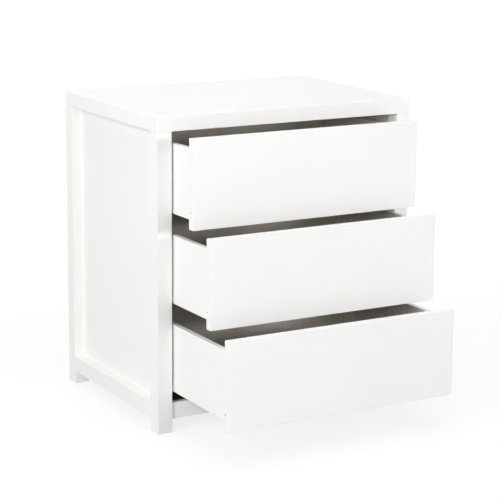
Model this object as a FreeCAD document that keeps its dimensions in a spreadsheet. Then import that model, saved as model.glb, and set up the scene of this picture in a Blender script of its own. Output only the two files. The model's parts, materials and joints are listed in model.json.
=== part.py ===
import FreeCAD, Part
import os
import re
import Sketcher

# A free-standing chest of three inset drawers: a thick top slab on four square posts,
# recessed side panels, low rails, and drawers on hidden full-extension runners.
# Millimetres, +Z up, the drawers open towards -Y. The origin is on the floor, at the
# centre of the box that holds the chest with its drawers as open as they are stored.

# ------------------------------------------------------------------ driving dimensions

DIMENSIONS = (
    # alias, value, meaning
    ("width", 790, "overall width, post to post"),
    ("height", 860, "overall height"),
    ("carcass_depth", 580, "depth of the top slab and of the post frame"),
    ("slab_thickness", 41, "top slab"),
    ("slab_easing", 1.5, "rounding of the top slab's edges"),
    ("edge_easing", 0.8, "rounding of every other visible board's edges"),
    ("post_side", 43, "side of the square posts"),
    ("glide_thickness", 2, "what the foot glides lift the posts by"),
    ("glide_radius", 12, "foot glide disc"),
    ("glide_pin_radius", 2.5, "foot glide pin"),
    ("glide_pin_length", 14, "foot glide pin"),
    ("side_panel_thickness", 15, "side panel, flush with the posts' inner faces"),
    ("floor_gap", 38, "floor to the underside of the low rails"),
    ("rail_height", 45, "low side rails and front rail"),
    ("rail_thickness", 18, "front rail and back rails"),
    ("front_rail_setback", 6, "front rail behind the posts' front faces"),
    ("back_rail_height", 60, "both back rails"),
    ("back_panel_thickness", 5, "back panel"),
    ("back_panel_inset", 5, "back panel in from the back posts' rear faces"),
    ("base_thickness", 5, "base panel under the lower drawer"),
    ("base_rise", 20, "base panel's underside above the low rails' lower edges"),
    ("base_play", 1, "base panel's ends to the side rails"),
    ("front_gap", 5, "gap above, between and below the drawer fronts"),
    ("side_gap", 5, "gap between a drawer front's end and the post"),
    ("front_thickness", 22, "drawer front"),
    ("box_clearance", 6, "drawer box side to the post's inner face"),
    ("box_board", 15, "drawer box sides and back"),
    ("box_easing", 0.6, "rounding of the drawer box boards"),
    ("box_length", 476, "drawer box behind the drawer front"),
    ("box_drop", 27, "box side's top edge below the front's top edge"),
    ("box_rise", 26, "box side's lower edge above the front's lower edge"),
    ("bottom_thickness", 6, "drawer bottom"),
    ("bottom_rise", 15, "drawer bottom's underside above the box side's lower edge"),
    ("bottom_tongue", 7, "how far the drawer bottoms and the base panel enter their grooves"),
    ("groove_depth", 8, "grooves in the box sides, drawer fronts, front rail and back rail"),
    ("upper_opening", 109, "how far the upper drawer is stored open"),
    ("middle_opening", 204, "how far the middle drawer is stored open"),
    ("lower_opening", 302, "how far the lower drawer is stored open"),
    ("steel", 1.5, "sheet thickness of the runners"),
    ("runner_start", 24, "fixed runner member behind the posts' front faces"),
    ("runner_length", 500, "fixed runner member"),
    ("flange_drop", 28, "fixed member's flange below the box side's lower edge"),
    ("web_drop", 4, "fixed member's web below the box side's lower edge"),
    ("rib_start", 31, "fixed member's upstanding rib from the post's inner face"),
    ("rib_width", 8, "fixed member's upstanding rib"),
    ("rib_top", 8.5, "top of that rib above the box side's lower edge"),
    ("middle_start", 26.5, "middle member from the post's inner face"),
    ("middle_width", 17, "middle member"),
    ("middle_low", 2, "middle member's lower edges above the box side's lower edge"),
    ("middle_top", 12, "middle member's top above the box side's lower edge"),
    ("middle_length", 450, "middle member"),
    ("middle_setback", 40, "closed middle member behind the posts' front faces"),
    ("cover_start", 23, "drawer member from the post's inner face"),
    ("cover_width", 24, "drawer member"),
    ("cover_low", 6, "drawer member's lower edges above the box side's lower edge"),
    ("cover_length", 470, "drawer member"),
    ("part_gap", 2, "drawer member and clips behind the drawer front"),
    ("clip_start", 48.5, "locking clip from the post's inner face"),
    ("clip_width", 18, "locking clip"),
    ("clip_length", 44, "locking clip"),
    ("clip_height", 11, "locking clip"),
    ("clip_nose", 12, "width of the locking clip's lever"),
    ("bore_play", 0.1, "radial play of every fastener in its bore"),
    ("bore_end_gap", 1, "free length at the bottom of every bore"),
    ("dowel_radius", 4, "beech dowels"),
    ("dowel_length", 30, "beech dowels"),
    ("dowel_chamfer", 1, "chamfered dowel ends"),
    ("cam_radius", 7.5, "cam discs"),
    ("cam_height", 12, "cam discs"),
    ("cam_cover", 3.4, "closed face of a cam disc above its slot"),
    ("cam_setback", 34, "cam disc's centre from the joint"),
    ("bolt_radius", 3.5, "cam bolts"),
    ("bolt_neck_radius", 2.2, "cam bolt behind its head"),
    ("bolt_head_length", 4, "cam bolt's head"),
    ("bolt_neck_length", 9, "cam bolt's head and neck together"),
    ("bolt_grip", 11, "cam bolt's length in the joined board"),
    ("runner_screw_radius", 3, "runner screws"),
    ("runner_screw_head", 5, "runner screw head's radius"),
    ("runner_screw_cap", 2, "runner screw head's thickness"),
    ("runner_screw_grip", 12, "runner screw's length in the wood"),
    ("runner_screw_inset", 37, "first runner screw behind the posts' front faces"),
    ("runner_screw_pitch", 416, "first runner screw to the second"),
    ("runner_screw_drop", 16, "runner screws below the box side's lower edge"),
    ("panel_screw_radius", 1.75, "countersunk screws of the back panel and drawer bottoms"),
    ("panel_screw_head", 3.5, "countersunk screw head's radius"),
    ("panel_screw_length", 16, "countersunk screws"),
    ("wall_hole_radius", 2.5, "wall fixing holes in the upper back rail"),
    ("wall_hole_spacing", 320, "wall fixing holes, centre to centre"),
)

ALIASES = {alias for alias, size, meaning in DIMENSIONS}
NODES = []          # every separate piece, in the order it is made

doc = FreeCAD.newDocument("chest_of_drawers")
sheet = doc.addObject("Spreadsheet::Sheet", "dims")
for row, (alias, size, meaning) in enumerate(DIMENSIONS, start=1):
    sheet.set(f"A{row}", meaning)
    sheet.set(f"B{row}", str(size))
    sheet.setAlias(f"B{row}", alias)
doc.recompute()

# ------------------------------------------------------------------ places, as formulas

FRONT_FACE = "((lower_opening - carcass_depth) / 2)"        # y of the posts' front faces
BACK_FACE = f"({FRONT_FACE} + carcass_depth)"
INNER_FACE = "(width / 2 - post_side)"                      # |x| of the posts' inner faces
POST_LINE = "(width / 2 - post_side / 2)"                   # |x| of the posts' centres
PANEL_LINE = f"({INNER_FACE} + side_panel_thickness / 2)"   # |x| of the side panels' middles
SLAB_UNDERSIDE = "(height - slab_thickness)"
RAIL_TOP = "(floor_gap + rail_height)"
PANEL_LENGTH = "(carcass_depth - 2 * post_side)"            # between a side's two posts
BAY_WIDTH = f"(2 * {INNER_FACE})"                           # between the left and right posts
FRONT_HEIGHT = f"(({SLAB_UNDERSIDE} - {RAIL_TOP} - 4 * front_gap) / 3)"
SIDE_HEIGHT = f"({FRONT_HEIGHT} - box_drop - box_rise)"
BACK_RAIL_FACE = f"({BACK_FACE} - back_panel_inset - back_panel_thickness - rail_thickness)"
BACK_RAIL_MIDDLE = f"({BACK_RAIL_FACE} + rail_thickness / 2)"
FRONT_RAIL_MIDDLE = f"({FRONT_FACE} + front_rail_setback + rail_thickness / 2)"
FIXING_HEIGHTS = {"dowel": 0.7, "cam": 0.2}                 # along a rail's height

SIDES = {"left": -1, "right": 1}
DRAWERS = {"lower": 0, "middle": 1, "upper": 2}             # name: place counted from below


# ------------------------------------------------------------------ helpers

def in_cells(formula):
    """A formula with the sheet's name in front of each dimension."""
    return re.sub(r"[a-z]\w+", lambda word: "dims." + word.group()
                  if word.group() in ALIASES else word.group(), formula)


def number(formula):
    """What a formula is worth in millimetres."""
    return float(sheet.evalExpression(in_cells(formula)))


def bind(item, prop, formula):
    item.setExpression(prop, in_cells(formula))


def place(item, corner, rotation=FreeCAD.Rotation()):
    """Turn an object and tie its position to three formulas."""
    item.Placement = FreeCAD.Placement(FreeCAD.Vector(), rotation)
    for letter, formula in zip("xyz", corner):
        bind(item, f"Placement.Base.{letter}", formula)


def towards(side, distance):
    """The x of a point at a distance left or right of the middle."""
    return f"({SIDES[side]} * ({distance}))"


def low_x(side, nearest, thickness):
    """The lowest x of a slice that starts at |x| = nearest and is this thick."""
    return f"({nearest})" if side == "right" else f"(-({nearest}) - ({thickness}))"


def node(item, label):
    """Name an object as one of the chest's separate pieces."""
    item.Label = label
    NODES.append(item)
    return item


def block(label, size, corner):
    box = doc.addObject("Part::Box", label)
    for prop, formula in zip(("Length", "Width", "Height"), size):
        bind(box, prop, formula)
    place(box, corner)
    return box


def board(label, size, corner, easing=None, cutters=()):
    """A board with its twelve edges eased and its bores and grooves cut."""
    shape = block(f"{label}_blank", size, corner)
    if easing:
        eased = doc.addObject("Part::Fillet", f"{label}_eased")
        eased.Base = shape
        eased.Edges = [(edge, number(easing), number(easing)) for edge in range(1, 13)]
        shape = eased
    for cutter in cutters:
        cut = doc.addObject("Part::Cut", f"{label}_cut")
        cut.Base = shape
        cut.Tool = cutter
        shape = cut
    return node(shape, label)


def outline_sketch(body, role, outline):
    """A closed outline on one of the body's own planes, every corner tied to formulas."""
    sketch = body.newObject("Sketcher::SketchObject", "outline")
    plane = next(item for item in body.Origin.OriginFeatures if item.Role == role)
    sketch.AttachmentSupport = [(plane, "")]
    sketch.MapMode = "FlatFace"
    corners = [FreeCAD.Vector(number(across), number(up), 0) for across, up in outline]
    for start, end in zip(corners, corners[1:] + corners[:1]):
        sketch.addGeometry(Part.LineSegment(start, end))
    for line in range(len(corners)):
        following = (line + 1) % len(corners)
        sketch.addConstraint(Sketcher.Constraint("Coincident", line, 2, following, 1))
    for line, (corner, formulas) in enumerate(zip(corners, outline)):
        for kind, axis, value, formula in zip(("DistanceX", "DistanceY"), (-2, -1), corner, formulas):
            if abs(value) < 1e-9:
                sketch.addConstraint(Sketcher.Constraint("PointOnObject", line, 1, axis))
            else:
                index = sketch.addConstraint(Sketcher.Constraint(kind, -1, 1, line, 1, value))
                bind(sketch, f"Constraints[{index}]", formula)
    return sketch


def turned(label, outline):
    """A body of revolution about its own z axis, from (radius, height) corners."""
    body = doc.addObject("PartDesign::Body", label)
    sketch = outline_sketch(body, "XZ_Plane", outline)
    feature = body.newObject("PartDesign::Revolution", "turn")
    feature.Profile = sketch
    feature.ReferenceAxis = (sketch, ["V_Axis"])
    feature.Angle = 360
    return body


def folded(label, role, outline, length, corner):
    """A section padded to a length: along +Y from the XZ plane, or up from the XY plane."""
    body = doc.addObject("PartDesign::Body", label)
    feature = body.newObject("PartDesign::Pad", "length")
    feature.Profile = outline_sketch(body, role, outline)
    feature.Reversed = role == "XZ_Plane"
    bind(feature, "Length", length)
    place(body, corner)
    return body


def mirrored(outline, width):
    """The same outline seen from the other side."""
    return [(f"({width} - ({across}))", up) for across, up in reversed(outline)]


def copies(label, master, spots):
    """Copies of one master, each at (x, y, z, direction of its own z, direction of its own x)."""
    links = []
    for x, y, z, up, along in spots:
        link = doc.addObject("App::Link", f"{label}_copy")
        link.LinkedObject = master
        up, along = FreeCAD.Vector(*up), FreeCAD.Vector(*along)
        place(link, (x, y, z), FreeCAD.Rotation(along, up.cross(along), up, "ZXY"))
        links.append(link)
    group = doc.addObject("Part::Compound", label)
    group.Links = links
    return group


def joined(label, items):
    fuse = doc.addObject("Part::MultiFuse", label)
    fuse.Shapes = items
    return fuse


# ------------------------------------------------------------------ masters of the small parts
# Each fastener starts one free gap above the bottom of its bore, so both share one origin.

def rod(label, radius, length):
    return turned(label, [("0", "0"), (radius, "0"), (radius, length), ("0", length)])


def bore(label, radius, length):
    return rod(label, f"{radius} + bore_play", length)


DOWEL_BORE = "(dowel_length + 2 * bore_end_gap)"
dowel_bore = bore("dowel_bore", "dowel_radius", DOWEL_BORE)
dowel = turned("dowel_master", [
    ("0", "bore_end_gap"),
    ("dowel_radius - dowel_chamfer", "bore_end_gap"),
    ("dowel_radius", "bore_end_gap + dowel_chamfer"),
    ("dowel_radius", "bore_end_gap + dowel_length - dowel_chamfer"),
    ("dowel_radius - dowel_chamfer", "bore_end_gap + dowel_length"),
    ("0", "bore_end_gap + dowel_length"),
])

BOLT_LENGTH = "(bolt_grip + cam_setback)"
bolt_bore = bore("bolt_bore", "bolt_radius", f"bore_end_gap + {BOLT_LENGTH}")
bolt = turned("bolt_master", [
    ("0", "bore_end_gap"),
    ("bolt_radius", "bore_end_gap"),
    ("bolt_radius", f"bore_end_gap + {BOLT_LENGTH} - bolt_neck_length"),
    ("bolt_neck_radius", f"bore_end_gap + {BOLT_LENGTH} - bolt_neck_length"),
    ("bolt_neck_radius", f"bore_end_gap + {BOLT_LENGTH} - bolt_head_length"),
    ("bolt_radius", f"bore_end_gap + {BOLT_LENGTH} - bolt_head_length"),
    ("bolt_radius", f"bore_end_gap + {BOLT_LENGTH}"),
    ("0", f"bore_end_gap + {BOLT_LENGTH}"),
])

cam_bore = bore("cam_bore", "cam_radius", "cam_height + bore_end_gap")
cam = turned("cam_blank", [
    ("0", "bore_end_gap"), ("cam_radius", "bore_end_gap"),
    ("cam_radius", "bore_end_gap + cam_height"), ("0", "bore_end_gap + cam_height"),
])
cam_slot = block("cam_slot", ("2 * cam_radius", "2 * (bolt_radius + bore_play)", "cam_height - cam_cover"),
                 ("-bolt_radius", "-(bolt_radius + bore_play)", "bore_end_gap"))
cam_cross = block("cam_cross", ("cam_radius", "bolt_neck_radius / 2", "cam_cover"),
                  ("-cam_radius / 2", "-bolt_neck_radius / 4", "bore_end_gap + cam_height - cam_cover / 2"))
cam_slotted = doc.addObject("Part::Cut", "cam_slotted")
cam_slotted.Base = cam
cam_slotted.Tool = joined("cam_cutters", [cam_slot, cam_cross])

RUNNER_SCREW = "(runner_screw_grip + steel)"
runner_bore = bore("runner_bore", "runner_screw_radius", f"bore_end_gap + {RUNNER_SCREW}")
runner_screw = turned("runner_screw_master", [
    ("0", "bore_end_gap"),
    ("runner_screw_radius", "bore_end_gap"),
    ("runner_screw_radius", f"bore_end_gap + {RUNNER_SCREW}"),
    ("runner_screw_head", f"bore_end_gap + {RUNNER_SCREW}"),
    ("runner_screw_head", f"bore_end_gap + {RUNNER_SCREW} + runner_screw_cap / 2"),
    ("runner_screw_radius", f"bore_end_gap + {RUNNER_SCREW} + runner_screw_cap"),
    ("0", f"bore_end_gap + {RUNNER_SCREW} + runner_screw_cap"),
])


def countersunk(play):
    """The outline of a flush countersunk screw, or with play, of its bore."""
    head = "(panel_screw_head - panel_screw_radius)"
    start = "0" if play else "bore_end_gap"
    return [
        ("0", start),
        (f"panel_screw_radius + {play}", start),
        (f"panel_screw_radius + {play}", f"bore_end_gap + panel_screw_length - {head}"),
        (f"panel_screw_head + {play}", "bore_end_gap + panel_screw_length"),
        ("0", "bore_end_gap + panel_screw_length"),
    ]


panel_bore = turned("panel_bore", countersunk("bore_play"))
panel_screw = turned("panel_screw_master", [(radius.replace(" + 0", ""), up) for radius, up in countersunk(0)])

glide_bore = bore("glide_bore", "glide_pin_radius", "glide_pin_length + bore_end_gap")
glide = turned("glide_master", [
    ("0", "0"),
    ("glide_radius - glide_thickness / 2", "0"),
    ("glide_radius", "glide_thickness / 2"),
    ("glide_radius", "glide_thickness"),
    ("glide_pin_radius", "glide_thickness"),
    ("glide_pin_radius", "glide_thickness + glide_pin_length"),
    ("0", "glide_thickness + glide_pin_length"),
])
wall_bore = rod("wall_bore", "wall_hole_radius", "rail_thickness + back_panel_thickness + 2 * bore_end_gap")

# ------------------------------------------------------------------ where the fasteners go

UP, BACK = (0, 0, 1), (0, 1, 0)
DOWEL_BELOW = f"({DOWEL_BORE} / 2)"


def outward(side):
    return (SIDES[side], 0, 0)


def inward(side):
    return (-SIDES[side], 0, 0)


def along_panel(part):
    """A y at a fraction of the side panel's length."""
    return f"({FRONT_FACE} + post_side + {part} * {PANEL_LENGTH})"


def rail_line(low, height, kind):
    """The z of a dowel or a cam in a rail."""
    return f"({low} + {FIXING_HEIGHTS[kind]} * ({height}))"


UPPER_BACK_RAIL = f"({SLAB_UNDERSIDE} - back_rail_height)"
CROSS_RAILS = (       # y of the middle, z of the lower edge, height, cam's y, cam's direction
    (FRONT_RAIL_MIDDLE, "floor_gap", "rail_height",
     f"({FRONT_FACE} + front_rail_setback + rail_thickness)", BACK),
    (BACK_RAIL_MIDDLE, "floor_gap", "back_rail_height", BACK_RAIL_FACE, (0, -1, 0)),
    (BACK_RAIL_MIDDLE, UPPER_BACK_RAIL, "back_rail_height", BACK_RAIL_FACE, (0, -1, 0)),
)


def side_bottom(level):
    """The z of a drawer box side's lower edge."""
    return f"({RAIL_TOP} + front_gap + {level} * ({FRONT_HEIGHT} + front_gap) + box_rise)"


def carcass_dowels():
    spots = []
    for side in SIDES:
        for y in (f"({FRONT_FACE} + post_side / 2)", f"({BACK_FACE} - post_side / 2)"):
            spots.append((towards(side, POST_LINE), y, f"{SLAB_UNDERSIDE} - {DOWEL_BELOW}", UP, outward(side)))
        for part in (0.3, 0.7):
            spots.append((towards(side, PANEL_LINE), along_panel(part),
                          f"{SLAB_UNDERSIDE} - {DOWEL_BELOW}", UP, outward(side)))
        for y in (along_panel(0), along_panel(1)):
            start = f"({y} - {DOWEL_BELOW})"
            spots.append((towards(side, POST_LINE), start, rail_line("floor_gap", "rail_height", "cam"), BACK, UP))
            for z in (0.2, 0.8):
                height = f"({RAIL_TOP} + {z} * ({SLAB_UNDERSIDE} - {RAIL_TOP}))"
                spots.append((towards(side, PANEL_LINE), start, height, BACK, UP))
        for y, low, height, cam_y, cam_way in CROSS_RAILS:
            start = towards(side, f"{INNER_FACE} - {DOWEL_BELOW}")
            spots.append((start, y, rail_line(low, height, "dowel"), outward(side), UP))
    return spots


def cam_joints():
    """Spots of the cam discs and of their bolts."""
    discs, bolts = [], []
    disc_floor = "(cam_height + bore_end_gap)"
    for side in SIDES:
        for part in (0.12, 0.88):
            y = along_panel(part)
            disc_z = f"({SLAB_UNDERSIDE} - cam_setback)"
            discs.append((towards(side, f"{INNER_FACE} + {disc_floor}"), y, disc_z, inward(side), UP))
            bolt_top = f"({SLAB_UNDERSIDE} + bolt_grip + bore_end_gap)"
            bolts.append((towards(side, PANEL_LINE), y, bolt_top, (0, 0, -1), outward(side)))
        for y, low, height, cam_y, cam_way in CROSS_RAILS:
            z = rail_line(low, height, "cam")
            floor_y = f"({cam_y} - ({cam_way[1]}) * {disc_floor})"
            discs.append((towards(side, f"{INNER_FACE} - cam_setback"), floor_y, z, cam_way, outward(side)))
            bolt_end = towards(side, f"{INNER_FACE} + bolt_grip + bore_end_gap")
            bolts.append((bolt_end, y, z, inward(side), UP))
    return discs, bolts


def runner_screws():
    spots = []
    for side in SIDES:
        for level in DRAWERS.values():
            for pitch in (0, 1):
                x = towards(side, f"{INNER_FACE} + runner_screw_grip + bore_end_gap")
                y = f"({FRONT_FACE} + runner_screw_inset + {pitch} * runner_screw_pitch)"
                z = f"({side_bottom(level)} - runner_screw_drop)"
                spots.append((x, y, z, inward(side), UP))
    return spots


def back_panel_screws():
    start = f"({BACK_FACE} - back_panel_inset - panel_screw_length - bore_end_gap)"
    spots = []
    for low in ("floor_gap", UPPER_BACK_RAIL):
        for part in (0.08, 0.36, 0.64, 0.92):
            x = f"(-{INNER_FACE} + {part} * {BAY_WIDTH})"
            spots.append((x, start, f"({low} + back_rail_height / 2)", BACK, UP))
    return spots


def foot_spots():
    return [(towards(side, POST_LINE), y, "0", UP, outward(side)) for side in SIDES
            for y in (f"({FRONT_FACE} + post_side / 2)", f"({BACK_FACE} - post_side / 2)")]


def wall_spots():
    start = f"({BACK_RAIL_FACE} - bore_end_gap)"
    return [(towards(side, "wall_hole_spacing / 2"), start, f"({UPPER_BACK_RAIL} + back_rail_height / 2)", BACK, UP)
            for side in SIDES]


# ------------------------------------------------------------------ the carcass

cam_spots, bolt_spots = cam_joints()
carcass_bores = joined("carcass_bores", [
    copies("dowel_bores", dowel_bore, carcass_dowels()),
    copies("cam_bores", cam_bore, cam_spots),
    copies("bolt_bores", bolt_bore, bolt_spots),
    copies("runner_bores", runner_bore, runner_screws()),
    copies("panel_bores", panel_bore, back_panel_screws()),
    copies("glide_bores", glide_bore, [(x, y, "glide_thickness", up, along) for x, y, z, up, along in foot_spots()]),
    copies("wall_bores", wall_bore, wall_spots()),
])


def carcass():
    board("top_panel", ("width", "carcass_depth", "slab_thickness"),
          ("-width / 2", FRONT_FACE, SLAB_UNDERSIDE), "slab_easing", [carcass_bores])
    for side in SIDES:
        for end, y in (("front", FRONT_FACE), ("back", f"({BACK_FACE} - post_side)")):
            board(f"{end}_{side}_post", ("post_side", "post_side", f"{SLAB_UNDERSIDE} - glide_thickness"),
                  (low_x(side, INNER_FACE, "post_side"), y, "glide_thickness"), "edge_easing", [carcass_bores])
        board(f"{side}_side_panel", ("side_panel_thickness", PANEL_LENGTH, f"{SLAB_UNDERSIDE} - {RAIL_TOP}"),
              (low_x(side, INNER_FACE, "side_panel_thickness"), along_panel(0), RAIL_TOP), None, [carcass_bores])
        board(f"{side}_side_rail", ("post_side", PANEL_LENGTH, "rail_height"),
              (low_x(side, INNER_FACE, "post_side"), along_panel(0), "floor_gap"), "edge_easing", [carcass_bores])
    base_front = f"({FRONT_FACE} + front_rail_setback + rail_thickness)"      # y of the front rail's rear face
    base_length = f"({BACK_RAIL_FACE} - {base_front})"
    base_z = "(floor_gap + base_rise)"
    base_groove = block("base_groove", (BAY_WIDTH, f"{base_length} + 2 * groove_depth", "base_thickness"),
                        (f"-{INNER_FACE}", f"{base_front} - groove_depth", base_z))
    board("front_rail", (BAY_WIDTH, "rail_thickness", "rail_height"),
          (f"-{INNER_FACE}", f"{FRONT_FACE} + front_rail_setback", "floor_gap"), "edge_easing",
          [base_groove, carcass_bores])
    for label, low, cutters in (("lower_back_rail", "floor_gap", [base_groove, carcass_bores]),
                                ("upper_back_rail", UPPER_BACK_RAIL, [carcass_bores])):
        board(label, (BAY_WIDTH, "rail_thickness", "back_rail_height"),
              (f"-{INNER_FACE}", BACK_RAIL_FACE, low), "edge_easing", cutters)
    board("base_panel", (f"{BAY_WIDTH} - 2 * base_play", f"{base_length} + 2 * bottom_tongue", "base_thickness"),
          (f"-({INNER_FACE} - base_play)", f"{base_front} - bottom_tongue", base_z))
    board("back_panel", (BAY_WIDTH, "back_panel_thickness", f"{SLAB_UNDERSIDE} - floor_gap"),
          (f"-{INNER_FACE}", f"{BACK_RAIL_FACE} + rail_thickness", "floor_gap"), None, [carcass_bores])
    node(copies("carcass_dowels", dowel, carcass_dowels()), "carcass_dowels")
    fittings = doc.addObject("Part::Compound", "cam_fittings")
    fittings.Links = [copies("cam_discs", cam_slotted, cam_spots), copies("cam_bolts", bolt, bolt_spots)]
    node(fittings, "cam_fittings")
    screws = doc.addObject("Part::Compound", "carcass_screws")
    screws.Links = [copies("runner_screws", runner_screw, runner_screws()),
                    copies("back_panel_screws", panel_screw, back_panel_screws())]
    node(screws, "carcass_screws")
    node(copies("foot_glides", glide, foot_spots()), "foot_glides")


# ------------------------------------------------------------------ the runners

def fixed_section():
    """Sheet folded into a wall flange, a web under the box side and a rib that stands up from it."""
    web = "(flange_drop - web_drop)"
    under = f"({web} - steel)"
    rib = "(flange_drop + rib_top)"
    rib_end = "(rib_start + rib_width)"
    return [
        ("0", "0"), ("steel", "0"), ("steel", under),
        ("rib_start + steel", under), ("rib_start + steel", f"{rib} - steel"),
        (f"{rib_end} - steel", f"{rib} - steel"), (f"{rib_end} - steel", under),
        (rib_end, under), (rib_end, rib), ("rib_start", rib), ("rib_start", web), ("0", web),
    ]


def channel_section(width, height):
    """A channel with its open side down."""
    return [
        ("0", "0"), ("steel", "0"), ("steel", f"{height} - steel"),
        (f"{width} - steel", f"{height} - steel"), (f"{width} - steel", "0"),
        (width, "0"), (width, height), ("0", height),
    ]


def runner_member(label, side, section, width, length, start, y, z):
    """One steel member: its section is drawn for the left side and mirrored for the right."""
    outline = section if side == "left" else mirrored(section, width)
    x = f"(-{INNER_FACE} + {start})" if side == "left" else f"({INNER_FACE} - {start} - {width})"
    return folded(label, "XZ_Plane", outline, length, (x, y, z))


def fixed_member(side, name, level):
    label = f"{name}_{side}_runner_rail"
    body = runner_member(f"{label}_section", side, fixed_section(), "(rib_start + rib_width)", "runner_length",
                         "0", f"{FRONT_FACE} + runner_start", f"{side_bottom(level)} - flange_drop")
    cut = doc.addObject("Part::Cut", f"{label}_cut")
    cut.Base = body
    cut.Tool = carcass_bores
    node(cut, label)


def middle_member(side, name, level, opening):
    section = channel_section("middle_width", "(middle_top - middle_low)")
    body = runner_member(f"{name}_{side}_runner_slide", side, section, "middle_width", "middle_length",
                         "middle_start", f"{FRONT_FACE} + middle_setback - {opening} / 2",
                         f"{side_bottom(level)} + middle_low")
    node(body, f"{name}_{side}_runner_slide")


def drawer_member(side, name, level, opening):
    section = channel_section("cover_width", "(bottom_rise - cover_low)")
    body = runner_member(f"{name}_{side}_runner_cover", side, section, "cover_width", "cover_length",
                         "cover_start", f"{FRONT_FACE} - {opening} + front_thickness + part_gap",
                         f"{side_bottom(level)} + cover_low")
    node(body, f"{name}_{side}_runner_cover")


# ------------------------------------------------------------------ the drawers

def drawer_dowels(level, front_y):
    """Dowels from the sides into the front, and from the sides into the back."""
    spots = []
    side_line = f"({INNER_FACE} - box_clearance - box_board / 2)"
    for side in SIDES:
        for part in (0.32, 0.8):
            z = f"({side_bottom(level)} + {part} * {SIDE_HEIGHT})"
            front_start = f"({front_y} + front_thickness - dowel_length / 3 - bore_end_gap)"
            spots.append((towards(side, side_line), front_start, z, BACK, UP))
            back_start = towards(side, f"{side_line} + box_board / 2 - dowel_length / 6")
            back_y = f"({front_y} + front_thickness + box_length - box_board / 2)"
            spots.append((back_start, back_y, z, inward(side), UP))
    return spots


def drawer_bottom_screws(level, front_y):
    """Screws up through the drawer bottom into the box back."""
    head_z = f"({side_bottom(level)} + bottom_rise)"
    y = f"({front_y} + front_thickness + box_length - box_board / 2)"
    return [(f"({part} * {BAY_WIDTH})", y, f"({head_z} + panel_screw_length + bore_end_gap)", (0, 0, -1), BACK)
            for part in (-0.32, -0.11, 0.11, 0.32)]


def locking_clips(name, level, front_y):
    """The two clips under the drawer bottom that hold it on its runners."""
    outline = [
        ("0", "0"), ("clip_width", "0"), ("clip_width", "clip_length / 2"),
        ("clip_nose", "clip_length * 0.75"), ("clip_nose", "clip_length"), ("0", "clip_length"),
    ]
    bodies = []
    for side in SIDES:
        section = outline if side == "left" else mirrored(outline, "clip_width")
        x = (f"(-{INNER_FACE} + clip_start)" if side == "left"
             else f"({INNER_FACE} - clip_start - clip_width)")
        corner = (x, f"({front_y} + front_thickness + part_gap)",
                  f"({side_bottom(level)} + bottom_rise - clip_height)")
        bodies.append(folded(f"{name}_{side}_clip", "XY_Plane", section, "clip_height", corner))
    pair = doc.addObject("Part::Compound", f"{name}_clips")
    pair.Links = bodies
    node(pair, f"{name}_drawer_clips")


def drawer(name, level):
    opening = f"{name}_opening"
    front_y = f"({FRONT_FACE} - {opening})"
    rear_of_front = f"({front_y} + front_thickness)"
    low = side_bottom(level)
    groove_z = f"({low} + bottom_rise)"
    box_half = f"({INNER_FACE} - box_clearance)"            # |x| of the box's outer faces
    inner_half = f"({box_half} - box_board)"                # |x| of the box's inner faces
    bores = joined(f"{name}_bores", [
        copies(f"{name}_dowel_bores", dowel_bore, drawer_dowels(level, front_y)),
        copies(f"{name}_screw_bores", panel_bore, drawer_bottom_screws(level, front_y)),
    ])
    front_groove = block(f"{name}_front_groove", (BAY_WIDTH, "groove_depth", "bottom_thickness"),
                         (f"-{INNER_FACE}", f"{rear_of_front} - groove_depth", groove_z))
    side_groove = block(f"{name}_side_groove", (f"2 * ({inner_half} + groove_depth)", "box_length", "bottom_thickness"),
                        (f"-({inner_half} + groove_depth)", rear_of_front, groove_z))

    board(f"{name}_drawer_front", (f"{BAY_WIDTH} - 2 * side_gap", "front_thickness", FRONT_HEIGHT),
          (f"-({INNER_FACE} - side_gap)", front_y, f"{low} - box_rise"), "edge_easing", [front_groove, bores])
    for side in SIDES:
        board(f"{name}_drawer_{side}_side", ("box_board", "box_length", SIDE_HEIGHT),
              (low_x(side, inner_half, "box_board"), rear_of_front, low), "box_easing", [side_groove, bores])
    board(f"{name}_drawer_back", (f"2 * {inner_half}", "box_board", f"{SIDE_HEIGHT} - bottom_rise - bottom_thickness"),
          (f"-{inner_half}", f"{rear_of_front} + box_length - box_board", f"{groove_z} + bottom_thickness"),
          "box_easing", [bores])
    board(f"{name}_drawer_bottom", (f"2 * ({inner_half} + bottom_tongue)", "box_length + bottom_tongue",
                                    "bottom_thickness"),
          (f"-({inner_half} + bottom_tongue)", f"{rear_of_front} - bottom_tongue", groove_z), None, [bores])
    node(copies(f"{name}_dowels", dowel, drawer_dowels(level, front_y)), f"{name}_drawer_dowels")
    node(copies(f"{name}_bottom_screws", panel_screw, drawer_bottom_screws(level, front_y)),
         f"{name}_drawer_bottom_screws")
    locking_clips(name, level, front_y)
    for side in SIDES:
        fixed_member(side, name, level)
        middle_member(side, name, level, opening)
        drawer_member(side, name, level, opening)


carcass()
for drawer_name, drawer_level in DRAWERS.items():
    drawer(drawer_name, drawer_level)

# ------------------------------------------------------------------ check and write

doc.recompute()
for item in doc.Objects:
    if "Invalid" in item.State or "Error" in item.State:
        raise RuntimeError(f"{item.Label} is {item.State}")

os.makedirs("parts", exist_ok=True)
for item in NODES:
    if item.Shape.isNull() or not item.Shape.isValid():
        raise RuntimeError(f"{item.Label} has no valid shape")
    item.Shape.exportStep(os.path.join("parts", f"{item.Label}.step"))
print(len(NODES), "nodes written")
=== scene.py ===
import json
import math
import bmesh
import bpy
from mathutils import Matrix, Vector


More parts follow.
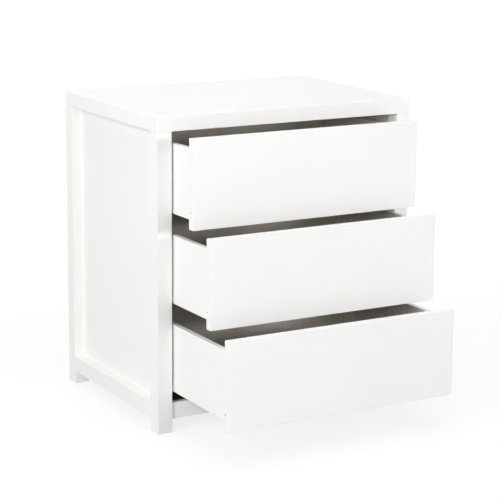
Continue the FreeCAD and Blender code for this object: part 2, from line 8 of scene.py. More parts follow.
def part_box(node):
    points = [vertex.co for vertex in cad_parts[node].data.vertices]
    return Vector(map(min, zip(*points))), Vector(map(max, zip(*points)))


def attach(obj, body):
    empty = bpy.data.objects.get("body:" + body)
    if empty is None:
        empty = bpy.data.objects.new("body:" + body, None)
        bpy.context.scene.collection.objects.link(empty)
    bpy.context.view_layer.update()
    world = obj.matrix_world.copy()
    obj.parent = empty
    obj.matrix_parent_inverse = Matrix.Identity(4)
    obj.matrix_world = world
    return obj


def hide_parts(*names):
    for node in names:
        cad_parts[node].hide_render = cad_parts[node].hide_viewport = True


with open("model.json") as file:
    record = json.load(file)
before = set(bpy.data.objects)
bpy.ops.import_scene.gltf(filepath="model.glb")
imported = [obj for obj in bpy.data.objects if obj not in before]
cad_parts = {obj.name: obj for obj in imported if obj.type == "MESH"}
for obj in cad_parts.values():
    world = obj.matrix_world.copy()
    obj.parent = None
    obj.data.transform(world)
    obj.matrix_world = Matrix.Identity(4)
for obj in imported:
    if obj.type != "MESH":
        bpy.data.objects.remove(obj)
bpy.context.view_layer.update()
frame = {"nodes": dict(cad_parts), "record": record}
NODES = frame["nodes"]
RECORD = frame["record"]
SLOT_OF = {part["node"]: part["material_slot"] for part in RECORD["subparts"]}
BODY_OF = {node: body for body, nodes in RECORD["behaviour"]["bodies"].items() for node in nodes}
DRAWERS = ("upper", "middle", "lower")
SIDES = ("left", "right")
MM = 0.001


# ------------------------------------------------------------------ camera

AIM = Vector((-0.0263, 0.0175, 0.4395))     # where the camera and the lights look
CAMERA_DISTANCE = 5.006
CAMERA_AZIMUTH = math.radians(-29.74)
CAMERA_ELEVATION = math.radians(12.67)
CAMERA_ROLL = math.radians(0.42)
FIELD_OF_VIEW = math.radians(15.92)


def direction_to(azimuth, elevation):
    """From the chest towards something, the azimuth counted from its front towards its right."""
    across = math.cos(elevation)
    return Vector((math.sin(azimuth) * across, -math.cos(azimuth) * across, math.sin(elevation)))


def camera():
    data = bpy.data.cameras.new("camera")
    data.sensor_width = 36
    data.lens = data.sensor_width / 2 / math.tan(FIELD_OF_VIEW / 2)
    item = as_object("camera", data)
    back = direction_to(CAMERA_AZIMUTH, CAMERA_ELEVATION)
    item.location = AIM + back * CAMERA_DISTANCE
    turn = (-back).to_track_quat("-Z", "Y").to_matrix() @ Matrix.Rotation(CAMERA_ROLL, 3, "Z")
    item.rotation_euler = turn.to_euler()
    bpy.context.scene.camera = item


# ------------------------------------------------------------------ painting

class Painter:
    """Adds nodes to one new material and links them."""

    def __init__(self, name):
        self.material = bpy.data.materials.new(name)
        self.material.use_nodes = True
        self.tree = self.material.node_tree
        self.shader = self.tree.nodes["Principled BSDF"]
        self.coordinates = self.add("ShaderNodeTexCoord").outputs["Object"]

    def add(self, kind, inputs=None, **settings):
        node = self.tree.nodes.new(kind)
        for key, value in settings.items():
            setattr(node, key, value)
        for key, value in (inputs or {}).items():
            if isinstance(value, bpy.types.NodeSocket):
                self.tree.links.new(value, node.inputs[key])
            else:
                node.inputs[key].default_value = value
        return node

    def noise(self, scale, detail=2.0, roughness=0.5, stretch=(1, 1, 1)):
        """A noise value from 0 to 1, its features 1 / scale metres apart."""
        place = self.add("ShaderNodeMapping", {"Vector": self.coordinates, "Scale": stretch})
        made = self.add("ShaderNodeTexNoise", {"Vector": place.outputs["Vector"], "Scale": scale,
                                               "Detail": detail, "Roughness": roughness})
        return made.outputs["Fac"]

    def spread(self, value, low, high, start=0.0, end=1.0, **settings):
        """A value moved from the range start to end onto low to high."""
        made = self.add("ShaderNodeMapRange", {"Value": value, "From Min": start, "From Max": end,
                                               "To Min": low, "To Max": high}, **settings)
        return made.outputs["Result"]

    def math(self, operation, first, second=0.0):
        made = self.add("ShaderNodeMath", {0: first, 1: second}, operation=operation)
        return made.outputs[0]

    def mix(self, factor, first, second):
        """Two colours mixed."""
        made = self.add("ShaderNodeMix", {0: factor, 6: first, 7: second}, data_type="RGBA")
        return made.outputs[2]

    def blend(self, factor, first, second):
        """Two values mixed."""
        made = self.add("ShaderNodeMix", {0: factor, 2: first, 3: second}, data_type="FLOAT")
        return made.outputs[0]

    def part(self, axis):
        """One of the piece's own coordinates, in metres."""
        return self.add("ShaderNodeSeparateXYZ", {"Vector": self.coordinates}).outputs[axis]

    def bump(self, height, distance):
        made = self.add("ShaderNodeBump", {"Height": height, "Distance": distance, "Strength": 1.0})
        self.set(Normal=made.outputs["Normal"])

    def set(self, **values):
        """Sets or links the shader's sockets, whose names have underscores here for their spaces."""
        for key, value in values.items():
            socket = self.shader.inputs[key.replace("_", " ")]
            if isinstance(value, bpy.types.NodeSocket):
                self.tree.links.new(value, socket)
            else:
                socket.default_value = value


# ------------------------------------------------------------------ mesh building

CLEAR = 0.1 * MM         # how far a cutter stands out of what it cuts
SAME_CORNER = 1e-6


def as_object(name, data):
    item = bpy.data.objects.new(name, data)
    bpy.context.scene.collection.objects.link(item)
    return item


def as_mesh(name, corners, faces):
    mesh = bpy.data.meshes.new(name)
    mesh.from_pydata(corners, [], faces)
    return mesh


def mesh_object(name, corners, faces):
    return as_object(name, as_mesh(name, corners, faces))


def lathe(outline, around=24, shape=None):
    """Corners and faces of a closed solid turned about Z. The outline runs from axis to axis, upwards.

    A shape gives the reach of the corner at a radius, a height and an angle."""
    corners, faces, rings = [], [], []
    for radius, height in outline:
        start = len(corners)
        steps = around if radius else 1
        for step in range(steps):
            angle = math.tau * step / around
            reach = shape(radius, height, angle) if shape and radius else radius
            corners.append((reach * math.cos(angle), reach * math.sin(angle), height))
        rings.append(range(start, start + steps))
    for lower, upper in zip(rings, rings[1:]):
        for step in range(around):
            after = (step + 1) % around
            face = [lower[step % len(lower)], lower[after % len(lower)],
                    upper[after % len(upper)], upper[step % len(upper)]]
            faces.append(list(dict.fromkeys(face)))
    return corners, faces


def prism(near, far):
    """Corners and faces of the solid between two outlines that have the same number of corners."""
    count = len(near)
    faces = [list(range(count)), list(range(2 * count - 1, count - 1, -1))]
    for first in range(count):
        after = (first + 1) % count
        faces.append([after, first, count + first, count + after])
    return [*near, *far], faces


def taper(top, low, high, narrow):
    """Corners and faces of a block, size top at height high, that narrows to a share of it at height low."""
    corners = []
    for height, share in ((low, narrow), (high, 1.0)):
        for x, y in ((-1, -1), (1, -1), (1, 1), (-1, 1)):
            corners.append((x * top[0] / 2 * share, y * top[1] / 2 * share, height))
    faces = [(3, 2, 1, 0), (4, 5, 6, 7), (0, 1, 5, 4), (1, 2, 6, 5), (2, 3, 7, 6), (3, 0, 4, 7)]
    return corners, faces


def dome(centre, reach, base, rise, steps):
    """Outline points of a quarter ellipse, from beside its centre radius up to just short of its top."""
    turns = [math.radians(90 * step / (steps + 1)) for step in range(1, steps + 1)]
    return [(centre + reach * math.cos(turn), base + rise * math.sin(turn)) for turn in turns]


def carved(solid, cutters):
    """The mesh of one solid less the cutters. The solid and the cutters are removed."""
    for cutter in cutters:
        cut = solid.modifiers.new("cut", "BOOLEAN")
        cut.operation = "DIFFERENCE"
        cut.solver = "EXACT"
        cut.object = cutter
    graph = bpy.context.evaluated_depsgraph_get()
    mesh = bpy.data.meshes.new_from_object(solid.evaluated_get(graph))
    for item in [solid] + cutters:
        bpy.data.objects.remove(item)
    return mesh


def cross_recess(top, span, depth):
    """Cutters for a screwdriver's cross, sunk from the height top."""
    blade, narrow = 0.24 * span, 0.45
    return [mesh_object("cutter", *taper(size, top - depth, top + CLEAR, narrow))
            for size in ((span, blade), (blade, span))]


def solids_of(node):
    """The separate solids of a CAD node, each as a list of its corners."""
    whole = bmesh.new()
    whole.from_mesh(NODES[node].data)
    bmesh.ops.remove_doubles(whole, verts=whole.verts, dist=SAME_CORNER)
    whole.verts.index_update()
    seen, solids = set(), []
    for first in whole.verts:
        if first.index in seen:
            continue
        seen.add(first.index)
        waiting, corners = [first], []
        while waiting:
            corner = waiting.pop()
            corners.append(corner.co.copy())
            for edge in corner.link_edges:
                other = edge.other_vert(corner)
                if other.index not in seen:
                    seen.add(other.index)
                    waiting.append(other)
        solids.append(corners)
    whole.free()
    return solids


def extent(corners):
    low = Vector([min(corner[way] for corner in corners) for way in range(3)])
    high = Vector([max(corner[way] for corner in corners) for way in range(3)])
    return low, high


def seat(corners, aim=None):
    """Where a turned solid sits: its origin at the plain end, its Z towards the end with more shape.

    Its axis is the side of its box that isn't like the other two. With aim, its X points that way."""
    low, high = extent(corners)
    size, middle = high - low, (low + high) / 2
    order = sorted(range(3), key=lambda way: size[way])
    slender = size[order[2]] - size[order[1]] > size[order[1]] - size[order[0]]
    way = order[2] if slender else order[0]
    edge = 0.01 * MM
    between = [corner[way] for corner in corners if low[way] + edge < corner[way] < high[way] - edge]
    upwards = not between or sum(between) / len(between) >= middle[way]
    axis = Vector((0, 0, 0))
    axis[way] = 1 if upwards else -1
    start = middle.copy()
    start[way] = low[way] if upwards else high[way]
    across = (aim - middle) if aim else axis.orthogonal()
    across = (across - axis * across.dot(axis)).normalized()
    turn = Matrix((across, axis.cross(across), axis)).transposed().to_4x4()
    return Matrix.Translation(start) @ turn


def seat_up(corners):
    """The lowest middle point of a solid that stands upright."""
    low, high = extent(corners)
    return Matrix.Translation(((low.x + high.x) / 2, (low.y + high.y) / 2, low.z))


def stamped(name, placed):
    """One object from many copies: placed is a list of (mesh, matrix)."""
    whole = bmesh.new()
    for mesh, matrix in placed:
        before = len(whole.verts)
        whole.from_mesh(mesh)
        whole.verts.ensure_lookup_table()
        bmesh.ops.transform(whole, matrix=matrix, verts=whole.verts[before:])
    mesh = bpy.data.meshes.new(name)
    whole.to_mesh(mesh)
    whole.free()
    return as_object(name, mesh)


def joined(name, meshes):
    """One object from meshes that are in place already."""
    return stamped(name, [(mesh, Matrix.Identity(4)) for mesh in meshes])


def finished(item, body, slot, *nodes, smooth=40):
    """Shades a piece, gives it its material and its body, and hides the CAD nodes that it stands for."""
    item.data.shade_smooth()
    item.data.set_sharp_from_angle(angle=math.radians(smooth))
    item.data.materials.clear()
    item.data.materials.append(bpy.data.materials[slot])
    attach(item, body)
    if nodes:
        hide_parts(*nodes)


# ------------------------------------------------------------------ studio

FLOOR_SIZE = 60
FLOOR_COLOUR = 0.20
FLOOR_GLOW = 0.80        # round the chest, where the floor shows its shadow
GLOW_START = 0.6         # how far from the middle the glow begins to rise
GLOW_END = 4.0           # and where it is full white
ROOM_RADIUS = 29
ROOM_FLOOR = -1
ROOM_HEIGHT = 25
BOUNCE_LIGHT = 0.50      # what comes up off the floor
WORLD_LIGHT = 0.3        # what comes off the walls and the ceiling
# name, azimuth and elevation in degrees, distance, width, height, watts
LIGHTS = (
    ("left_strip", -60, 11.5, 5.5, 2.0, 0.5, 105),
    ("left_key", -64, 31, 5.0, 1.3, 0.7, 58),
    ("middle_strip", -20, 11.5, 5.5, 2.0, 0.5, 18),
    ("right_strip", 28, 11.5, 5.5, 2.0, 0.5, 88),
    ("right_rear", 128, 1, 5.0, 1.2, 0.7, 70),
    ("top", 180, 80, 4.5, 4.0, 4.0, 112),
)


def floor():
    """A white studio floor that mostly shines by itself, so the shadows on it stay faint.

    It doesn't light the chest: the world's lower half stands for the light that comes off it."""
    bpy.ops.mesh.primitive_plane_add(size=FLOOR_SIZE, location=(0, 0, 0))
    plane = bpy.context.object
    plane.name = "floor"
    plane.visible_diffuse = False
    plane.visible_shadow = False
    paint = Painter("floor")
    distance = paint.add("ShaderNodeVectorMath", {0: paint.coordinates}, operation="LENGTH").outputs["Value"]
    glow = paint.spread(distance, FLOOR_GLOW, 1.0, GLOW_START, GLOW_END, interpolation_type="SMOOTHSTEP")
    paint.set(Base_Color=(FLOOR_COLOUR, FLOOR_COLOUR, FLOOR_COLOUR, 1), Roughness=1.0,
              Specular_IOR_Level=0.0, Emission_Color=(1, 1, 1, 1), Emission_Strength=glow)
    plane.data.materials.append(paint.material)


def backdrop():
    """A plain white wall far round the floor, which closes level views and shows in the lacquer.

    It neither shades the chest nor adds to its diffuse light."""
    outline = [(0, ROOM_FLOOR), (ROOM_RADIUS, ROOM_FLOOR), (ROOM_RADIUS, ROOM_HEIGHT), (0, ROOM_HEIGHT)]
    wall = mesh_object("backdrop", *lathe(outline, 64))
    wall.visible_diffuse = False
    wall.visible_transmission = False
    wall.visible_shadow = False
    paint = Painter("backdrop")
    paint.set(Base_Color=(0, 0, 0, 1), Specular_IOR_Level=0.0, Emission_Color=(1, 1, 1, 1),
              Emission_Strength=1.0)
    wall.data.materials.append(paint.material)


def area_light(name, azimuth, elevation, distance, width, height, power):
    """A softbox that looks at the middle of the chest."""
    data = bpy.data.lights.new(name, "AREA")
    data.shape = "RECTANGLE"
    data.size = width
    data.size_y = height
    data.energy = power
    item = as_object(name, data)
    away = direction_to(math.radians(azimuth), math.radians(elevation))
    item.location = AIM + away * distance
    item.rotation_euler = (-away).to_track_quat("-Z", "Y").to_euler()


def studio():
    """The softboxes, and a world with one brightness above the horizon and one below."""
    scene = bpy.context.scene
    scene.view_settings.view_transform = "Standard"
    world = bpy.data.worlds.new("studio")
    scene.world = world
    world.use_nodes = True
    tree = world.node_tree
    background = tree.nodes["Background"]
    background.inputs["Color"].default_value = (1, 1, 1, 1)
    direction = tree.nodes.new("ShaderNodeTexCoord").outputs["Generated"]
    height = tree.nodes.new("ShaderNodeSeparateXYZ")
    tree.links.new(direction, height.inputs["Vector"])
    above = tree.nodes.new("ShaderNodeMath")
    above.operation = "GREATER_THAN"
    above.inputs[1].default_value = 0.0
    tree.links.new(height.outputs["Z"], above.inputs[0])
    half = tree.nodes.new("ShaderNodeMix")
    half.data_type = "FLOAT"
    half.inputs["A"].default_value = BOUNCE_LIGHT
    half.inputs["B"].default_value = WORLD_LIGHT
    tree.links.new(above.outputs[0], half.inputs["Factor"])
    tree.links.new(half.outputs["Result"], background.inputs["Strength"])
    for light in LIGHTS:
        area_light(*light)


# ------------------------------------------------------------------ materials

WHITE = (0.90, 0.90, 0.885, 1)
WHITE_SHADE = (0.885, 0.883, 0.865, 1)
LINEN_DARK = (0.47, 0.435, 0.38, 1)
LINEN_LIGHT = (0.63, 0.59, 0.53, 1)
FIBRE_DARK = (0.115, 0.064, 0.033, 1)
FIBRE_LIGHT = (0.27, 0.165, 0.095, 1)
BEECH_DARK = (0.42, 0.24, 0.12, 1)
BEECH_LIGHT = (0.60, 0.39, 0.22, 1)
BEECH_FLECK = (0.28, 0.14, 0.07, 1)
COATING_DARK = (0.42, 0.43, 0.445, 1)
COATING_LIGHT = (0.62, 0.63, 0.64, 1)
ZINC = (0.60, 0.60, 0.58, 1)
BLACK_PLASTIC = (0.02, 0.02, 0.022, 1)
PALE_PLASTIC = (0.60, 0.60, 0.57, 1)
PEEL_DEPTH = 0.03 * MM   # the lacquer's orange peel
WEAVE_DEPTH = 0.08 * MM  # the linen's threads and the hardboard's fibres
FACE_MARGIN = 0.3 * MM   # how far the linen reaches past an inner face
PRINT_MARGIN = 0.4 * MM  # and past the back panel's printed face


def lacquer_look(paint):
    """Colour, roughness and height of sprayed satin lacquer: faint clouds, orange peel and fine grain."""
    clouds = paint.noise(3.0, 3.0)
    colour = paint.mix(paint.spread(clouds, 0, 1, 0.35, 0.65), WHITE, WHITE_SHADE)
    handling = paint.noise(14.0, 4.0, 0.6)
    streaks = paint.noise(60.0, 3.0, 0.6, (1, 1, 0.15))
    wiped = paint.math("ADD", paint.math("MULTIPLY", handling, 0.7), paint.math("MULTIPLY", streaks, 0.3))
    roughness = paint.spread(wiped, 0.28, 0.44, 0.35, 0.65)
    peel = paint.noise(330.0, 2.0, 0.4)
    grain = paint.noise(2600.0, 1.0, 0.5)
    height = paint.math("ADD", peel, paint.math("MULTIPLY", grain, 0.12))
    return colour, roughness, height


def linen_look(paint):
    """Colour, roughness and height of a printed and embossed linen weave."""
    warp = paint.noise(900.0, 2.0, 0.6, (1, 0.06, 0.06))
    weft = paint.noise(900.0, 2.0, 0.6, (0.06, 1, 1))
    threads = paint.math("MULTIPLY", paint.math("ADD", warp, weft), 0.5)
    patches = paint.noise(25.0, 3.0)
    tone = paint.math("ADD", threads, paint.spread(patches, -0.05, 0.05))
    colour = paint.mix(paint.spread(tone, 0, 1, 0.38, 0.62), LINEN_DARK, LINEN_LIGHT)
    roughness = paint.spread(threads, 0.55, 0.7, 0.35, 0.65)
    return colour, roughness, threads


def painted(name, look, bump_distance):
    paint = Painter(name)
    colour, roughness, height = look(paint)
    paint.set(Base_Color=colour, Roughness=roughness, Specular_IOR_Level=0.5)
    paint.bump(height, bump_distance)
    return paint.material


def faced(name, limit):
    """White lacquer, with linen on what lies less than limit from the chest's middle: the inner faces."""
    paint = Painter(name)
    inside = paint.math("LESS_THAN", paint.math("ABSOLUTE", paint.part("X")), limit)
    white, linen = lacquer_look(paint), linen_look(paint)
    shallow = paint.math("MULTIPLY", white[2], 0.3)     # the peel is flatter than the weave
    paint.set(Base_Color=paint.mix(inside, white[0], linen[0]), Specular_IOR_Level=0.5,
              Roughness=paint.blend(inside, white[1], linen[1]))
    paint.bump(paint.blend(inside, shallow, linen[2]), WEAVE_DEPTH)
    return paint.material


def hardboard(name, printed_y):
    """Brown pressed fibre, with the linen print on the one face that lies at printed_y."""
    paint = Painter(name)
    off_face = paint.math("ABSOLUTE", paint.math("SUBTRACT", paint.part("Y"), printed_y))
    printed = paint.math("LESS_THAN", off_face, PRINT_MARGIN)
    along = paint.noise(1100.0, 3.0, 0.65, (0.14, 1, 1))
    upright = paint.noise(1100.0, 3.0, 0.65, (1, 1, 0.14))
    specks = paint.noise(420.0, 5.0, 0.75)
    fibres = paint.math("MULTIPLY", paint.math("ADD", paint.math("MAXIMUM", along, upright), specks), 0.5)
    blotches = paint.noise(7.0, 3.0)
    tone = paint.math("ADD", fibres, paint.spread(blotches, -0.05, 0.05))
    brown = paint.mix(paint.spread(tone, 0, 1, 0.40, 0.66), FIBRE_DARK, FIBRE_LIGHT)
    linen = linen_look(paint)
    paint.set(Base_Color=paint.mix(printed, brown, linen[0]), Specular_IOR_Level=0.5,
              Roughness=paint.blend(printed, paint.spread(fibres, 0.55, 0.75), linen[1]))
    paint.bump(paint.blend(printed, fibres, linen[2]), WEAVE_DEPTH)
    return paint.material


def plain(name, colour, roughness, metallic=0.0):
    """One colour with a faint grain, for small metal and plastic parts."""
    grain, depth, vary = 300.0, 0.02 * MM, 0.08
    paint = Painter(name)
    tone = paint.noise(grain / 12, 3.0)
    darker = tuple(0.85 * part for part in colour[:3]) + (1,)
    paint.set(Base_Color=paint.mix(tone, darker, colour), Metallic=metallic,
              Roughness=paint.spread(paint.noise(grain), roughness - vary, roughness + vary))
    paint.bump(paint.noise(grain, 3.0), depth)
    return paint.material


def galvanised(name):
    """Zinc-coated sheet steel, with the faint crystal pattern of the coating and drawn lines along it."""
    paint = Painter(name)
    cells = paint.add("ShaderNodeTexVoronoi", {"Vector": paint.coordinates, "Scale": 140.0})
    facet = paint.add("ShaderNodeSeparateColor", {"Color": cells.outputs["Color"]}).outputs["Red"]
    drawn = paint.noise(700.0, 2.0, 0.5, (1, 0.02, 1))
    tone = paint.math("ADD", paint.spread(facet, 0.0, 0.5), paint.spread(drawn, 0.0, 0.5))
    roughness = paint.math("ADD", paint.spread(facet, 0.28, 0.42), paint.spread(drawn, -0.05, 0.05))
    paint.set(Base_Color=paint.mix(tone, COATING_DARK, COATING_LIGHT), Metallic=1.0, Roughness=roughness)
    paint.bump(drawn, 0.01 * MM)
    return paint.material


def beech_look(name):
    """Pale pink-brown beech with short dark flecks along the grain."""
    paint = Painter(name)
    grain = paint.noise(500.0, 4.0, 0.6, (1, 1, 0.12))
    flecks = paint.add("ShaderNodeTexVoronoi", {"Vector": paint.coordinates, "Scale": 900.0})
    fleck = paint.spread(flecks.outputs["Distance"], 0.55, 0.0, 0.0, 0.25)
    wood = paint.mix(grain, BEECH_DARK, BEECH_LIGHT)
    paint.set(Base_Color=paint.mix(fleck, wood, BEECH_FLECK), Specular_IOR_Level=0.5,
              Roughness=paint.spread(grain, 0.5, 0.7))
    paint.bump(grain, 0.05 * MM)
    return paint.material


def paint_node(node, material):
    data = NODES[node].data
    if not data.materials:
        data.materials.append(material)
    for index in range(len(data.materials)):
        data.materials[index] = material


def materials():
    looks = {
        "white_lacquer": painted("white_lacquer", lacquer_look, PEEL_DEPTH),
        "linen_board": painted("linen_board", linen_look, WEAVE_DEPTH),
        "back_board": hardboard("back_board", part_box("back_panel")[0].y),
        "beech": beech_look("beech"),
        "runner_steel": galvanised("runner_steel"),
        "zinc_fittings": plain("zinc_fittings", ZINC, 0.3, 1.0),
        "clip_plastic": plain("clip_plastic", BLACK_PLASTIC, 0.5),
        "glide_plastic": plain("glide_plastic", PALE_PLASTIC, 0.5),
        "side_board": faced("side_board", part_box("right_side_panel")[0].x + FACE_MARGIN),
        "box_board": faced("box_board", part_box("upper_drawer_right_side")[0].x + FACE_MARGIN),
    }
    for node, slot in SLOT_OF.items():
        paint_node(node, looks[slot])


# ------------------------------------------------------------------ fasteners

LARGE_HEAD = 8 * MM      # a runner screw's head is wider than this, a panel screw's isn't
LONG_FITTING = 20 * MM   # a cam bolt is longer than this, a cam disc isn't


def with_thread(start, end, pitch, depth):
    """A shape for lathe that cuts a screw thread between two heights."""
    def shape(radius, height, angle):
        if not start < height < end:
            return radius
        turn = (height / pitch - angle / math.tau) % 1
        return radius - depth * abs(2 * turn - 1)
    return shape


def thread_rings(radius, start, end, pitch):
    """Outline points close enough together for a thread to show."""
    steps = round((end - start) / pitch * 5)
    return [(radius, start + (end - start) * step / steps) for step in range(steps + 1)]


def fluted_dowel():
    """A beech dowel, 8 by 30 mm, with pressed flutes and chamfered ends."""
    radius, length, chamfer, flute, flutes = 4 * MM, 30 * MM, 1 * MM, 0.35 * MM, 16
    outline = [(0, 0), (radius - chamfer, 0), (radius, chamfer), (radius, length - chamfer),
               (radius - chamfer, length), (0, length)]

    def fluted(reach, height, angle):
        return reach if reach < radius else reach - flute * abs(math.sin(flutes / 2 * angle))

    return as_mesh("dowel", *lathe(outline, 64, fluted))


def panel_screw():
    """A countersunk 3.5 by 16 mm screw with a cross recess."""
    radius, head, length, tip, pitch, depth = 1.75 * MM, 3.5 * MM, 16 * MM, 2.5 * MM, 1.3 * MM, 0.5 * MM
    cone, shank, ease = head - radius, radius * 0.8, 0.3 * MM
    neck = length - cone - 2 * MM
    outline = [(0, 0), (0.3 * MM, 0.1 * MM), *thread_rings(radius, tip, neck, pitch),
               (shank, neck + ease), (shank, length - cone - ease),
               (head, length - 0.2 * MM), (head - 0.15 * MM, length), (0, length)]
    solid = mesh_object("panel_screw", *lathe(outline, 24, with_thread(tip, neck, pitch, depth)))
    return carved(solid, cross_recess(length, 3.9 * MM, 1.8 * MM))


def runner_screw():
    """A blunt 6 mm screw with a coarse thread and a low domed head."""
    radius, head, grip, cap, pitch, depth = 3 * MM, 5 * MM, 13.5 * MM, 2 * MM, 2.4 * MM, 0.8 * MM
    neck, shank, rim = grip - 1.5 * MM, radius * 0.9, 0.35 * cap
    outline = [(0, 0), (radius * 0.7, 0), (radius * 0.85, 0.6 * MM), *thread_rings(radius, MM, neck, pitch),
               (shank, neck + 0.2 * MM), (shank, grip), (head, grip), (head, grip + rim),
               *dome(0.55 * head, 0.45 * head, grip + rim, cap - rim, 4),
               (head * 0.5, grip + cap), (0, grip + cap)]
    solid = mesh_object("runner_screw", *lathe(outline, 28, with_thread(MM, neck, pitch, depth)))
    return carved(solid, cross_recess(grip + cap, 5.2 * MM, 2.4 * MM))


def cam_disc():
    """A cast cam: closed and cross-slotted on top, open below on the side that takes its bolt."""
    radius, height, cover, foot = 7.5 * MM, 12 * MM, 3.4 * MM, 2.5 * MM
    mouth, past_axis = 7.2 * MM, 3.5 * MM
    waist = radius - 0.7 * MM
    outline = [(0, 0), (radius - 0.5 * MM, 0), (radius, 0.5 * MM), (radius, foot), (waist, foot + 0.3 * MM),
               (waist, height - cover), (radius, height - cover + 0.4 * MM),
               (radius, height - 0.3 * MM), (radius - 0.3 * MM, height), (0, height)]
    solid = mesh_object("cam_disc", *lathe(outline, 40))
    slot = mesh_object("cutter", *taper((4 * radius, mouth), -MM, height - cover, 1.0))
    slot.location.x = 2 * radius - past_axis
    bpy.context.view_layer.update()
    return carved(solid, [slot, *cross_recess(height, 8 * MM, 2.2 * MM)])


def cam_bolt():
    """A bolt that screws into one board and whose head the cam pulls on."""
    radius, length, grip, head, necked = 3.5 * MM, 45 * MM, 11 * MM, 4 * MM, 9 * MM
    start, end, pitch, depth = 0.5 * MM, grip - MM, 1.8 * MM, 0.7 * MM
    neck = 2.2 * MM
    shank = neck * 1.2
    collar = length - necked
    outline = [(0, 0), (radius * 0.7, 0), *thread_rings(radius, start, end, pitch),
               (radius * 0.75, grip - 0.5 * MM), (radius, grip), (radius, grip + MM),
               (shank, grip + 1.6 * MM), (shank, collar - 2 * MM), (radius, collar - 1.5 * MM),
               (radius, collar), (neck, collar), (neck, length - head),
               (radius - 0.6 * MM, length - head), (radius, length - head + 0.8 * MM),
               (radius, length - 1.2 * MM), (radius - MM, length), (0, length)]
    solid = mesh_object("cam_bolt", *lathe(outline, 24, with_thread(start, end, pitch, depth)))
    return carved(solid, cross_recess(length, 3.4 * MM, 1.4 * MM))


def glide():
    """A moulded foot glide: a domed disc with a raised ring, and a barbed pin."""
    radius, disc, pin, length, hollow = 12 * MM, 2 * MM, 2.5 * MM, 14 * MM, 0.2 * MM
    ring, rim = 0.86 * radius, 0.7 * disc
    outline = [(0, hollow), (0.45 * radius, hollow), (0.5 * radius, 0), (ring, 0)]
    for step in range(1, 4):
        turn = math.radians(90 * step / 4)
        outline.append((ring + (radius - ring) * math.sin(turn), rim * (1 - math.cos(turn))))
    outline += [(radius, rim), (radius, disc), (pin, disc)]
    for barb in range(4):
        low = disc + (2 + 2.6 * barb) * MM
        outline += [(pin * 0.8, low), (pin * 0.8, low + 0.8 * MM)]
        outline += [(pin, low + MM), (pin * 0.85, low + 2.4 * MM)]
    outline += [(pin * 0.5, disc + length), (0, disc + length)]
    return as_mesh("glide", *lathe(outline, 40))


def middle_of(corners):
    return sum(extent(corners), Vector()) / 2


def place_fasteners(node, placed):
    finished(stamped(f"{node}_detailed", placed), BODY_OF[node], SLOT_OF[node], node)


def fasteners():
    """Detailed fasteners in the places of the CAD's plain ones."""
    dowel, small_screw, large_screw = fluted_dowel(), panel_screw(), runner_screw()
    disc, bolt, foot = cam_disc(), cam_bolt(), glide()
    for node, slot in SLOT_OF.items():
        if slot == "beech":
            place_fasteners(node, [(dowel, seat(solid)) for solid in solids_of(node)])
        elif node.endswith("_screws"):
            placed = []
            for solid in solids_of(node):
                low, high = extent(solid)
                width = sorted(high - low)[1]
                placed.append((large_screw if width > LARGE_HEAD else small_screw, seat(solid)))
            place_fasteners(node, placed)
    bolts, discs = [], []
    for solid in solids_of("cam_fittings"):
        low, high = extent(solid)
        (bolts if max(high - low) > LONG_FITTING else discs).append(solid)
    placed = [(bolt, seat(solid)) for solid in bolts]
    for solid in discs:
        nearest = min(map(middle_of, bolts), key=lambda other: (other - middle_of(solid)).length)
        placed.append((disc, seat(solid, nearest)))
    place_fasteners("cam_fittings", placed)
    place_fasteners("foot_glides", [(foot, seat_up(solid)) for solid in solids_of("foot_glides")])


# ------------------------------------------------------------------ runners

SHEET = 1.5 * MM         # the middle member's steel
RIB_HALF = 4 * MM        # half the width of the fixed member's rib
RIB_TOP = 6.5 * MM       # its height above the middle member's lower edge
SIDE_GAP = 2 * MM        # from the middle member to the drawer's member
TOP_GAP = 1.5 * MM
CAGE_MARGIN = 12 * MM    # from the end of the middle member to the cage
CAGE_LENGTH = 178 * MM
BALL_PITCH = 13 * MM
BALL_PLAY = 0.04 * MM
FINGER_RIBS = 5
FINGER_RIB = 0.9 * MM    # radius
FINGER_PITCH = 3 * MM


def unit_ball():
    ball = bmesh.new()
    bmesh.ops.create_icosphere(ball, subdivisions=2, radius=1.0)
    mesh = bpy.data.meshes.new("ball")
    ball.to_mesh(mesh)
    ball.free()
    return mesh


def cage_section(inside, outside, under, over, rise):
    """Outline of a cage with a leg in the middle of both side gaps, and a roof between two ceilings."""
    line, leg = (inside + outside) / 2, 0.22 * (outside - inside)
    roof, plate = (under + over) / 2, 0.2 * (over - under)
    foot = max(rise - 2.2 * MM, 0.8 * MM)
    out, into = line + leg, line - leg
    return [(-out, foot), (-into, foot), (-into, roof - plate), (into, roof - plate), (into, foot),
            (out, foot), (out, roof + plate), (-out, roof + plate)]


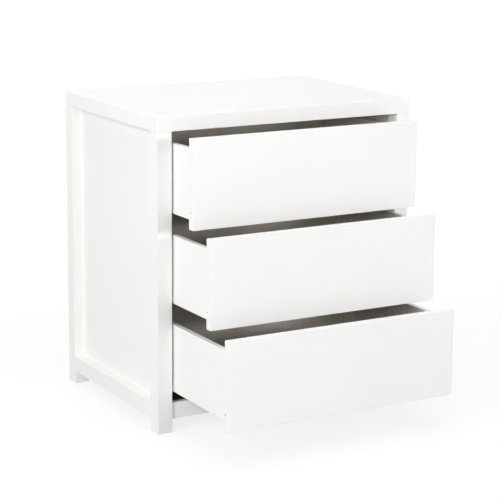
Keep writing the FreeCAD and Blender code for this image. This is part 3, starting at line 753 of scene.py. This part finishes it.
def cage_set(drawer, side):
    """Ball cages in the gaps round a runner's middle member, and their balls, which ride with it.

    One cage runs on the fixed member's rib and stays near the middle member's rear end. The other
    runs in the drawer's member and stays near the front end. Both stay in all three at every opening."""
    low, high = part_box(f"{drawer}_{side}_runner_slide")
    centre = (low.x + high.x) / 2
    half, height = (high.x - low.x) / 2, high.z - low.z
    rear, front = high.y - CAGE_MARGIN, low.y + CAGE_MARGIN
    sets = (   # half widths of the gap, its two ceilings, the balls' height, front end, rear end
        (RIB_HALF, half - SHEET, RIB_TOP, height - SHEET, 3.4 * MM, rear - CAGE_LENGTH, rear),
        (half, half + SIDE_GAP, height, height + TOP_GAP, 7 * MM, front, front + CAGE_LENGTH),
    )
    strips, balls, ball = [], [], unit_ball()
    for inside, outside, under, over, rise, start, end in sets:
        section = cage_section(inside, outside, under, over, rise)
        ends = [[(centre + x, y, low.z + z) for x, z in section] for y in (start, end)]
        strips.append(as_mesh("strip", *prism(*ends)))
        radius = (outside - inside) / 2 - BALL_PLAY
        run = end - start - BALL_PITCH
        count = int(run / BALL_PITCH)
        for step in range(count + 1):
            y = start + BALL_PITCH / 2 + run * step / count
            for way in (-1, 1):
                spot = Vector((centre + way * (inside + outside) / 2, y, low.z + rise))
                balls.append((ball, Matrix.Translation(spot) @ Matrix.Scale(radius, 4)))
    name = f"{drawer}_{side}_runner"
    cages = joined(f"{name}_ball_cages", strips)
    ease = cages.modifiers.new("ease", "BEVEL")
    ease.width = 0.15 * MM
    ease.segments = 2
    finished(cages, f"{drawer}_runner", "clip_plastic")
    finished(stamped(f"{name}_balls", balls), f"{drawer}_runner", "runner_steel", smooth=80)


def bent_edges(node):
    """Folded sheet has round bends: the CAD's sharp ones are eased without changing its mesh."""
    item = NODES[node]
    weld = item.modifiers.new("weld", "WELD")
    weld.merge_threshold = 0.002 * MM
    bend = item.modifiers.new("bend", "BEVEL")
    bend.width = 0.45 * MM
    bend.segments = 3
    bend.limit_method = "ANGLE"
    bend.angle_limit = math.radians(60)


def clip_ribs(drawer):
    """Moulded finger ribs under each locking clip."""
    turns = [math.radians(angle) for angle in range(180, 361, 30)]
    made = []
    for corners in solids_of(f"{drawer}_drawer_clips"):
        low, high = extent(corners)
        ends = (low.x + 2 * MM, high.x - 2 * MM)
        for step in range(FINGER_RIBS):
            y = low.y + 4 * MM + FINGER_PITCH * step
            sides = [[(x, y + FINGER_RIB * math.cos(turn), low.z + FINGER_RIB * math.sin(turn))
                      for turn in turns] for x in ends]
            made.append(as_mesh("rib", *prism(*sides)))
    finished(joined(f"{drawer}_drawer_clip_ribs", made), f"{drawer}_drawer", "clip_plastic")


def runners():
    for drawer in DRAWERS:
        clip_ribs(drawer)
        for side in SIDES:
            cage_set(drawer, side)
            for member in ("rail", "slide", "cover"):
                bent_edges(f"{drawer}_{side}_runner_{member}")


camera()
floor()
backdrop()
studio()
materials()
fasteners()
runners()
